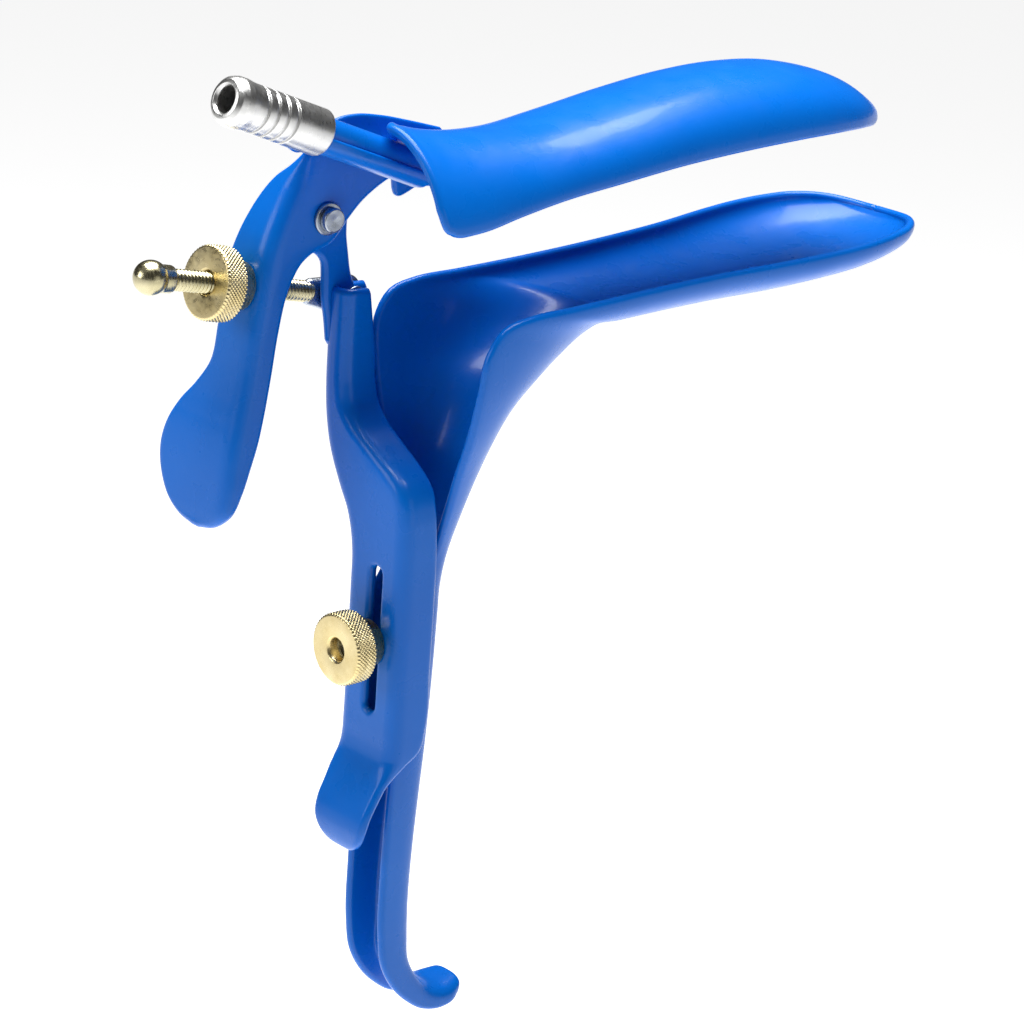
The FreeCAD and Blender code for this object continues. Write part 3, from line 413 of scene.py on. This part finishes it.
# %% Yoke grid with its slot
yoke_stations = [
    (-3.6, -0.3, 4.9, 0.3, 4.9, 0.1, 0.1), (-4.2, -3.2, 5.5, 3.2, 5.5, 0.1, 0.1),
    (-4.7, -5.0, 7.0, 5.0, 7.0, 0.1, 0.1), (-4.9, -6.0, 9.2, 6.0, 9.2, 0.1, 0.1),
    (-4.2, -6.4, 12.2, 6.4, 12.2, 0.1, 0.1), (-2.7, -6.5, 15.2, 6.5, 15.2, 0.1, 0.1),
    (-1.0, -6.7, 18.4, 6.7, 18.4, 0.3, 0.3), (0.4, -6.9, 21.4, 6.9, 21.4, 2.6, 1.6),
    (0.9, -7.0, 24.0, 7.0, 24.0, 5.6, 2.6), (1.0, -7.0, 28.0, 7.0, 28.0, 6.6, 2.8),
    (1.0, -7.0, 40.0, 7.0, 40.0, 6.8, 2.8), (1.0, -7.0, 54.0, 7.0, 54.0, 6.8, 2.8),
    (1.0, -7.0, 61.0, 7.1, 60.5, 6.7, 2.8), (1.0, -7.0, 66.5, 7.9, 64.8, 6.4, 2.9),
    (1.0, -6.8, 70.8, 9.4, 68.6, 6.1, 3.8), (1.0, -5.6, 75.1, 11.6, 72.1, 6.0, 5.2),
    (1.0, -2.3, 77.9, 13.6, 75.6, 6.1, 6.4), (1.0, 3.0, 80.8, 15.2, 79.0, 6.4, 6.8),
    (1.0, 8.4, 83.9, 16.4, 83.0, 6.6, 6.8), (1.0, 11.6, 87.4, 17.1, 87.0, 6.5, 6.8),
    (1.0, 12.6, 91.0, 17.4, 91.0, 6.3, 6.8), (1.0, 13.0, 97.5, 17.5, 97.5, 6.0, 6.8),
    (1.0, 13.0, 103.5, 17.5, 103.5, 5.0, 6.9), (1.0, 13.0, 108.5, 17.5, 108.5, 4.2, 7.0),
]
SLOT_HALF, SLOT_RADIUS, SLOT_MIDDLE = 15.4, 2.45, 45.5
YOKE_BEND, WEB_COLUMNS = 1.9, 24


def yoke_mesh():
    """Folded channel whose middle column splits by s(z) = sqrt(r^2 - (|z - c| - h)^2) to open the slot."""
    s = through(yoke_stations, 380, 0.2)
    web, yn, zn, yf, zf, near, far = s.T
    lean = np.clip((24.0 - zn) / 20.0, 0, 1)
    near, far = np.maximum(near, 0.1), np.maximum(far, 0.1)
    lines = [np.stack([web + near, yn, zn + lean * near * 0.5], 1), np.stack([web, yn, zn], 1),
             np.stack([web, yf, zf], 1), np.stack([web + far, yf, zf + lean * far * 0.5], 1)]
    grid = folded(lines, YOKE_BEND, [7, WEB_COLUMNS, 7])
    rows, columns = grid.shape[:2]
    left, right = 13, 13 + WEB_COLUMNS
    middle = (left + right) // 2
    z = grid[:, middle, 2]
    past = np.maximum(np.abs(z - SLOT_MIDDLE) - (SLOT_HALF - SLOT_RADIUS), 0)
    open_by = np.sqrt(np.maximum(SLOT_RADIUS**2 - past**2, 0))
    share = np.interp(np.arange(columns), [left, middle, right], [0, 1, 0])[None, :]
    side = np.where(np.arange(columns) <= middle, -1.0, 1.0)[None, :]
    grid = np.concatenate([grid, grid[:, middle:middle + 1]], axis=1)
    share = np.concatenate([share, [[1.0]]], axis=1)
    side = np.concatenate([side, [[1.0]]], axis=1)
    grid[..., 1] += open_by[:, None] * share * side
    index = np.arange(rows * (columns + 1)).reshape(rows, columns + 1)
    shut = open_by <= 0
    index[shut, columns] = index[shut, middle]
    order = [*range(middle + 1)], [columns, *range(middle + 1, columns)]
    quads = []
    for part in order:
        i = index[:, part]
        quads.append(np.stack([i[:-1, :-1], i[1:, :-1], i[1:, 1:], i[:-1, 1:]], -1).reshape(-1, 4))
    used, quads = np.unique(np.concatenate(quads), return_inverse=True)
    return grid.reshape(-1, 3)[used], quads.reshape(-1, 4)


YOKE_SHEET = 2.0
yoke_points, yoke_faces = thicken(*yoke_mesh(), YOKE_SHEET)
add_piece("yoke_coated", yoke_points, yoke_faces, "slide", coat, ["yoke"])

# %% [markdown]
# ## The ear
# Above the arm a flat ear carries the hinge. It could be cut from a disc and a bar, but the real outline
# flows from one to the other. So it is a list of heights with a left and a right end, and the grid
# simply stretches between them.

# %% Ear
def flat_plate(heights, y, thickness, columns, name, *args):
    """Plate in the XZ plane: each row runs straight from the left to the right outline."""
    s = through(heights, 90, 0.7)
    u = np.linspace(0, 1, columns)[None, :]
    x = s[:, 1:2] + (s[:, 2:3] - s[:, 1:2]) * u
    z = np.broadcast_to(s[:, 0:1], x.shape)
    return sheet_piece(name, np.stack([x, np.full_like(x, y), z], -1), thickness, *args)


ear_outline = [
    (99.0, 1.0, 7.8), (104.0, 0.2, 7.6), (107.0, -0.5, 6.6), (109.5, -0.7, 4.6), (112.0, -0.8, 3.7),
    (114.5, -1.2, 3.2), (116.6, -3.0, 2.8), (117.6, -6.2, 2.6), (119.3, -8.6, 2.4), (121.5, -9.9, 2.4),
    (123.3, -10.3, 2.5), (125.5, -9.9, 2.1), (127.6, -8.6, 0.8), (129.0, -6.8, -1.0), (129.7, -4.3, -3.5),
]
EAR_PLANE, EAR_SHEET = 17.5, 1.94
flat_plate(ear_outline, EAR_PLANE, EAR_SHEET, 30, "yoke_ear", "slide", coat)

# %% [markdown]
# ## Thumb lever
# The lever is folded once: a web that faces the examiner and ends in a round paddle,
# and a flange along its near edge that runs forward to the hinge. Modelled flat and bent afterwards it
# would need a modifier, so the fold is part of the formula. Each station gives the web's place,
# the far edge, the fold, and where the flange ends.

# %% Lever stations and sheet
lever_stations = [
    (-23.5, 66.1, 24.0, 22.6, -23.4, 66.1), (-23.4, 67.0, 28.2, 19.0, -22.9, 67.0),
    (-23.3, 69.2, 31.6, 16.2, -22.2, 69.4), (-23.0, 73.0, 34.1, 15.3, -21.0, 73.2),
    (-22.5, 78.0, 35.2, 15.2, -19.3, 78.2), (-21.9, 82.0, 34.4, 15.2, -18.0, 82.2),
    (-21.1, 86.0, 32.2, 15.2, -17.1, 86.2), (-20.2, 90.5, 28.4, 15.2, -16.3, 90.6),
    (-19.4, 95.0, 25.5, 15.2, -15.6, 95.0), (-18.3, 103.0, 24.7, 15.2, -14.4, 103.2),
    (-17.2, 110.5, 24.7, 15.2, -12.9, 109.9), (-16.4, 115.5, 24.4, 15.2, -11.5, 113.2),
    (-15.4, 119.5, 23.6, 15.2, -9.6, 115.9), (-13.9, 123.3, 22.7, 15.2, -6.6, 117.9),
    (-12.2, 126.8, 21.6, 15.2, -2.7, 119.3), (-10.7, 129.7, 20.0, 15.2, 0.6, 122.9),
    (-9.5, 132.0, 17.6, 15.2, 4.0, 126.2), (-8.3, 134.3, 15.8, 15.2, 9.0, 129.3),
    (-6.9, 136.4, 15.3, 15.2, 16.5, 132.2),
]
LEVER_SHEET, LEVER_BEND = 2.1, 2.6


def lever_grid():
    """Folded strip through three lines: the far edge (x, far, z), the fold (x, fold, z) and the flange's
    edge (ex, fold, ez)."""
    s = through(lever_stations, 260, 0.5)
    x, z, far, fold, ex, ez = s.T
    far = np.maximum(far, fold + 0.05)
    lines = [np.stack([x, far, z], 1), np.stack([x, fold, z], 1), np.stack([ex, fold, ez], 1)]
    return folded(lines, LEVER_BEND, [26, 26])


sheet_piece("thumb_lever_coated", lever_grid()[:, ::-1], LEVER_SHEET, "jaw", coat, ["thumb_lever"])

# %% [markdown]
# ## Things that lie along an axis
# The tube, connector, screws, nuts and rivets are all turned on a lathe, so one function serves them all.
# A profile is a list of (along, radius), `soften` rounds its corners as a tool would, and `turned_piece`
# carries it round an axis. A ripple can be added, and that is how threads and knurls are made below.

# %% Axis and turned pieces
def axis_frame(direction):
    """Unit direction with two unit directions square to it."""
    d = np.array(direction, float)
    d /= np.linalg.norm(d)
    side = np.cross(d, [0.0, 1.0, 0.0]) if abs(d[1]) < 0.9 else np.cross(d, [1.0, 0.0, 0.0])
    side /= np.linalg.norm(side)
    return d, side, np.cross(d, side)


def soften(corners, reach, steps=5, spacing=0.4):
    """Profile whose inner corners are short quadratic curves; straight runs are cut to the spacing."""
    p = np.asarray(corners, float)
    out = [p[:1]]
    last = p[0]
    for i in range(1, len(p)):
        end = p[i]
        if i < len(p) - 1:
            into, after = p[i - 1] - p[i], p[i + 1] - p[i]
            a = p[i] + into * min(reach / np.linalg.norm(into), 0.48)
            b = p[i] + after * min(reach / np.linalg.norm(after), 0.48)
            end = a
        count = max(2, int(np.linalg.norm(end - last) / spacing) + 1)
        out.append(last + (end - last) * np.linspace(0, 1, count)[1:, None])
        if i < len(p) - 1:
            u = np.linspace(0, 1, steps)[1:, None]
            out.append((1 - u) ** 2 * a + 2 * u * (1 - u) * p[i] + u**2 * b)
            last = b
    return np.concatenate(out)


def turned_piece(name, profile, start, direction, body, material, replaces=(), turns=72, ripple=None):
    """Surface of revolution: start + along * d + r * (cos a * e + sin a * f), with r changed by a ripple
    that depends on along and angle."""
    d, e, f = axis_frame(direction)
    along, radius = profile[:, 0:1], profile[:, 1:2]
    angle = np.linspace(0, 2 * math.pi, turns, endpoint=False)[None, :]
    r = np.broadcast_to(radius, (len(profile), turns)).copy()
    if ripple is not None:
        r += ripple(along, angle, radius)
    spot = (np.asarray(start, float) + along[..., None] * d
            + r[..., None] * (np.cos(angle)[..., None] * e + np.sin(angle)[..., None] * f))
    quads = grid_quads(len(profile), turns, closed=True)
    return add_piece(name, spot.reshape(-1, 3), quads, body, material, replaces)


# %% [markdown]
# ## Tube and connector
# The tube takes smoke away through a hose that is pushed on the steel connector. Both slope the same way.
# The connector's profile runs from the bore, round the nose, over four narrow grooves, along the plain
# part and back down its bore, so that one can look inside. The band that carries the tube belongs to the
# lever: it hugs the tube on the near side, and rises to a thin lip on the far side. A bent box would look
# dead here, so its section is a curve too, and every column starts and ends at its own place.

# %% Tube, connector and the band under them
TUBE_START = np.array([-37.1, 3.0, 150.1])
slope = math.radians(20)
TUBE_ALONG = np.array([math.cos(slope), 0.0, -math.sin(slope)])
TUBE_UP = np.array([math.sin(slope), 0.0, math.cos(slope)])
TUBE_LIFT = 0.2

nose = [(14.0, 2.4), (0.6, 2.4), (0.0, 2.8), (0.15, 3.5), (0.8, 4.15), (2.0, 4.52), (3.2, 4.55),
        (4.6, 4.35), (5.6, 4.3)]
FIRST_GROOVE, GROOVE_PITCH, GROOVE_FLOOR = 6.4, 2.3, 3.85
grooves = []
for number in range(4):
    at = FIRST_GROOVE + GROOVE_PITCH * number
    grooves += [(at, 4.3), (at + 0.12, GROOVE_FLOOR), (at + 0.58, GROOVE_FLOOR), (at + 0.7, 4.3)]
shell = nose + grooves + [(22.3, 4.3), (22.55, 4.05), (22.55, 3.3), (14.0, 3.3), (14.0, 2.4)]
turned_piece("hose_connector_turned", soften(shell, 0.12, 4), TUBE_START, TUBE_ALONG, "jaw", satin_steel,
             ["hose_connector"], turns=96)
pipe = np.array([(18.8, 2.1), (18.8, 2.9), (50.6, 2.9), (50.6, 2.1), (34.0, 2.1), (18.8, 2.1)])
turned_piece("smoke_tube_coated", soften(pipe, 0.3, 4), TUBE_START + TUBE_LIFT * TUBE_UP, TUBE_ALONG,
             "jaw", coat, ["smoke_tube"])
BAND_SHEET = 0.95


def band_grid():
    """Rows along the tube, columns across it: place = near place + share * (lip place - near place),
    and the height follows the lip by the same share."""
    rows = through([(23.0, 31.6, -3.0), (24.6, 33.2, 0.4), (27.5, 36.0, 3.2), (32.0, 40.0, 5.2),
                    (37.0, 46.0, 6.6), (42.5, 53.0, 7.5), (48.0, 61.0, 8.3)], 90)[:, None, :]
    section = through([(-3.2, -0.8, 0.0), (-3.05, -1.6, 0.0), (-2.0, -2.6, 0.0), (0.0, -3.05, 0.0),
                       (3.6, -2.95, 0.02), (7.2, -2.7, 0.1), (10.2, -1.9, 0.3), (11.9, 0.2, 0.7),
                       (12.2, 3.0, 1.0)], 72)[None, :, :]
    side, height, share = section[..., 0], section[..., 1], section[..., 2]
    along = rows[..., 0] + share * (rows[..., 1] - rows[..., 0])
    height = height + share * (rows[..., 2] - 3.0)
    spot = TUBE_START + along[..., None] * TUBE_ALONG + height[..., None] * TUBE_UP
    spot[..., 1] += side
    return spot


sheet_piece("tube_band", band_grid()[:, ::-1], BAND_SHEET, "jaw", coat)

# %% [markdown]
# ## Screw with a real thread
# The screw sets how far the blades open. A thread is a ridge whose height depends on how far along and
# how far round you are, added together: the phase is along / pitch minus angle / full turn. A triangle wave
# of that phase is the thread, which is far quicker than sweeping a profile along a helix.
# The flat eye is a sheet.

# %% Tilt screw, ball and eye
SCREW_SLOPE = math.radians(11)
EYE = np.array([5.4, 19.75, 106.5])
SCREW_ALONG = np.array([-math.cos(SCREW_SLOPE), 0.0, math.sin(SCREW_SLOPE)])
PITCH, THREAD_DEPTH = 0.794, 0.42
ROD_START, BALL_CENTRE, BALL_RADIUS, EYE_SHEET = 8.0, 45.0, 3.2, 2.2


def thread(along, angle, radius):
    """Minus depth times a rounded triangle wave of along / pitch - angle / 2 pi, on the full radius only."""
    phase = (along / PITCH - angle / (2 * math.pi)) % 1.0
    wave = np.abs(2 * phase - 1)
    return -THREAD_DEPTH * (1 - wave) ** 0.8 * (radius > 1.9)


rod = [(0.0, 0.0), (0.0, 1.6), (0.4, 2.06)] + [(a, 2.06) for a in np.arange(0.5, 36.8, PITCH / 8)]
rod += [(36.9, 1.7), (36.9, 0.0)]
turned_piece("tilt_screw_thread", np.array(rod), EYE + ROD_START * SCREW_ALONG, SCREW_ALONG, "screw",
             screw_brass, ["tilt_screw"], turns=40, ripple=thread)
ball_profile = [(-4.2, 2.1), (-4.2, 2.5), (-4.0, 2.58), (-2.3, 2.58)]
ball_profile += [(-BALL_RADIUS * math.cos(t), BALL_RADIUS * math.sin(t))
                 for t in np.linspace(0.95, math.pi, 30)]
turned_piece("stop_ball_turned", np.array(ball_profile), EYE + BALL_CENTRE * SCREW_ALONG, SCREW_ALONG,
             "screw", screw_brass, ["stop_ball"], turns=64)


def eye_grid():
    """Flat end of the screw: rows along the screw, half height from a circle into a short taper."""
    rows = through([(-2.9, 0.4), (-2.6, 1.5), (-1.8, 2.5), (-0.4, 2.95), (1.2, 2.9), (3.2, 2.4), (5.4, 1.9),
                    (8.6, 1.4)], 60, 0.5)
    v = np.linspace(-1, 1, 17)[None, :, None]
    up = np.array([math.sin(SCREW_SLOPE), 0.0, math.cos(SCREW_SLOPE)])
    return EYE + rows[:, None, 0:1] * SCREW_ALONG + rows[:, None, 1:2] * v * up


sheet_piece("tilt_screw_eye", eye_grid(), EYE_SHEET, "screw", dark_steel)

# %% [markdown]
# ## Knurled nuts
# Two pale brass nuts are turned by hand, so their rims are rough. Diamond knurling is two families of
# slanted grooves that cross. The ripple is the deeper of two triangle waves, one slanting each way, and it
# only acts on the rim. Real grooves in the mesh catch the light better than a bump does.

# %% Nuts and stud
KNURL_COUNT, KNURL_LEAD, KNURL_DEPTH = 58, 44, 0.26


def knurl(along, angle, radius):
    """Minus depth times the larger of two triangle waves of count * (angle + lean) / 2 pi and
    count * (angle - lean) / 2 pi, where lean is 2 pi * along / lead."""
    lean = 2 * math.pi * along / KNURL_LEAD
    first = np.abs(2 * ((KNURL_COUNT * (angle + lean) / (2 * math.pi)) % 1.0) - 1)
    second = np.abs(2 * ((KNURL_COUNT * (angle - lean) / (2 * math.pi)) % 1.0) - 1)
    return -KNURL_DEPTH * np.maximum(1 - first, 1 - second) ** 1.5 * (radius > 6.8)


def nut(name, start, direction, body, replaces):
    """Boss, shoulder, knurled rim with chamfers, flat outer face and the bore's mouth."""
    rim = [(a, 6.98) for a in np.arange(4.2, 7.85, 0.09)]
    profile = [(0.6, 2.13), (0.0, 2.3), (0.0, 4.2), (0.25, 4.48), (3.45, 4.48), (3.7, 4.7), (3.7, 6.5),
               (4.05, 6.9)]
    profile += rim + [(8.0, 6.88), (8.28, 6.5), (8.3, 6.3), (8.3, 5.0), (8.3, 2.7), (8.28, 2.6), (7.8, 2.13),
                      (0.6, 2.13)]
    return turned_piece(name, np.array(profile), start, direction, body, brass, replaces, turns=464,
                        ripple=knurl)


NUT_REACH, STUD_HEIGHT = 24.4, 45.0
nut("tilt_nut_knurled", EYE + NUT_REACH * SCREW_ALONG, SCREW_ALONG, "tilt_nut", ["tilt_nut"])
nut("lock_nut_knurled", (-0.05, 0.0, STUD_HEIGHT), (-1.0, 0.0, 0.0), "lock_nut", ["lock_nut"])
stud_rod = [(0.0, 0.0), (0.0, 1.5), (0.35, 2.06)] + [(a, 2.06) for a in np.arange(0.5, 15.0, PITCH / 8)]
stud_rod += [(19.3, 2.06), (19.3, 0.0)]
turned_piece("lock_stud_thread", np.array(stud_rod), (-5.9, 0.0, STUD_HEIGHT), (1.0, 0.0, 0.0), "handle",
             dark_steel, ["lock_stud"], turns=40, ripple=thread)
box_low, box_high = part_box("tilt_nut")
print("tilt nut CAD box in mm:", [round(c / MM, 2) for c in (*box_low, *box_high)])

# %% [markdown]
# ## Rivets
# Small turned heads finish the hinges. The hinge rivet is left bare and bluish, with a washer under its
# head. The far ends can't be seen from the front, and are plain flat heads as on most such hinges.
# A cylinder with a bevel would do, but a profile lets us sink the middle of the front head a little.

# %% Rivets and washer
PIVOT = np.array([-3.9, 0.0, 123.3])
HEAD_RADIUS, WASHER_RADIUS, EYE_HEAD_RADIUS = 2.3, 3.1, 2.5


def round_head(name, profile, centre, y, direction, body, material, replaces=()):
    """Head turned about the Y direction from the plane at y, over the centre's x and z."""
    return turned_piece(name, soften(profile, 0.35, 6), (centre[0], y, centre[2]), (0.0, direction, 0.0),
                        body, material, replaces, turns=56)


head = [(0, 0), (0, HEAD_RADIUS), (1.6, HEAD_RADIUS), (1.6, 1.5), (1.45, 0)]
washer = [(0, 0), (0, WASHER_RADIUS), (0.8, WASHER_RADIUS), (0.8, 0)]
eye_head = [(0, 0), (0, EYE_HEAD_RADIUS), (1.2, EYE_HEAD_RADIUS), (1.2, 0)]
eye_tail = [(0, 0), (0, EYE_HEAD_RADIUS), (0.6, EYE_HEAD_RADIUS), (0.6, 0)]
round_head("pivot_rivet_head", head, PIVOT, 13.4, -1.0, "jaw", dark_steel, ["pivot_rivet"])
round_head("pivot_washer_round", washer, PIVOT, 14.2, -1.0, "jaw", dark_steel, ["pivot_washer"])
round_head("pivot_rivet_tail", washer, PIVOT, 18.55, 1.0, "jaw", dark_steel)
round_head("eye_rivet_head", eye_head, EYE, 21.0, 1.0, "slide", dark_steel, ["eye_rivet"])
round_head("eye_rivet_tail", eye_tail, EYE, 16.4, -1.0, "slide", dark_steel)

# %% [markdown]
# ## Floor, light and camera
# The instrument stands free above a white floor, under a large soft light from above. Two weak lights,
# one from the left and one from the near side, keep the upright faces from going dead. The floor glows
# a little, so that it stays white. The standard view transform keeps that white and the strong blue as
# they are. The camera is placed by its angle and distance to the middle of the view.

# %% Stage
FLOOR_HALF, FLOOR_DEPTH = 8, -0.35
corners = [(x * FLOOR_HALF, y * FLOOR_HALF, FLOOR_DEPTH) for x, y in ((-1, -1), (1, -1), (1, 1), (-1, 1))]
floor_mesh = bpy.data.meshes.new("floor")
floor_mesh.from_pydata(corners, [], [(0, 1, 2, 3)])
floor = bpy.data.objects.new("floor", floor_mesh)
bpy.context.scene.collection.objects.link(floor)
white = bpy.data.materials.new("floor_white")
white.use_nodes = True
paper = white.node_tree.nodes["Principled BSDF"]
paper.inputs["Base Color"].default_value = (0.92, 0.92, 0.92, 1)
paper.inputs["Roughness"].default_value = 0.9
paper.inputs["Emission Color"].default_value = (1, 1, 1, 1)
paper.inputs["Emission Strength"].default_value = 0.85
floor_mesh.materials.append(white)

world = bpy.data.worlds.new("studio")
bpy.context.scene.world = world
world.use_nodes = True
world.node_tree.nodes["Background"].inputs["Color"].default_value = (1, 1, 1, 1)
world.node_tree.nodes["Background"].inputs["Strength"].default_value = 0.05
bpy.context.scene.view_settings.view_transform = "Standard"


def area_light(name, place, aim, size, power):
    """Square light at a place, turned so that its -Z axis points at the aim."""
    light = bpy.data.lights.new(name, "AREA")
    light.size, light.energy = size, power
    holder = bpy.data.objects.new(name, light)
    holder.location = place
    holder.rotation_euler = (Vector(aim) - Vector(place)).to_track_quat("-Z", "Y").to_euler()
    bpy.context.scene.collection.objects.link(holder)


area_light("top", (0.10, 0.12, 0.95), (0.05, 0.0, 0.08), 0.8, 22)
area_light("left", (-0.75, 0.30, 0.35), (0.0, 0.0, 0.07), 0.4, 2)
area_light("near", (0.10, -0.85, 0.15), (0.0, 0.0, 0.07), 0.5, 0.5)

HALF_FRAME, FOCAL_PIXELS, DISTANCE = 512, 3127.137, 0.600
azimuth, elevation, roll = (math.radians(a) for a in (-43.582, 18.603, 4.189))
back = Vector((math.sin(azimuth) * math.cos(elevation), -math.cos(azimuth) * math.cos(elevation),
               math.sin(elevation)))
right = Vector((math.cos(azimuth), math.sin(azimuth), 0))
up = back.cross(right)
right, up = (math.cos(roll) * right + math.sin(roll) * up, -math.sin(roll) * right + math.cos(roll) * up)
target = Vector((0.034071, 0.0, 0.06455))
camera = bpy.data.objects.new("camera", bpy.data.cameras.new("camera"))
camera.data.angle = 2 * math.atan(HALF_FRAME / FOCAL_PIXELS)
camera.data.clip_end = 50
place = Matrix((right, up, back)).transposed().to_4x4()
place.translation = target + DISTANCE * back
camera.matrix_world = place
bpy.context.scene.collection.objects.link(camera)
bpy.context.scene.camera = camera
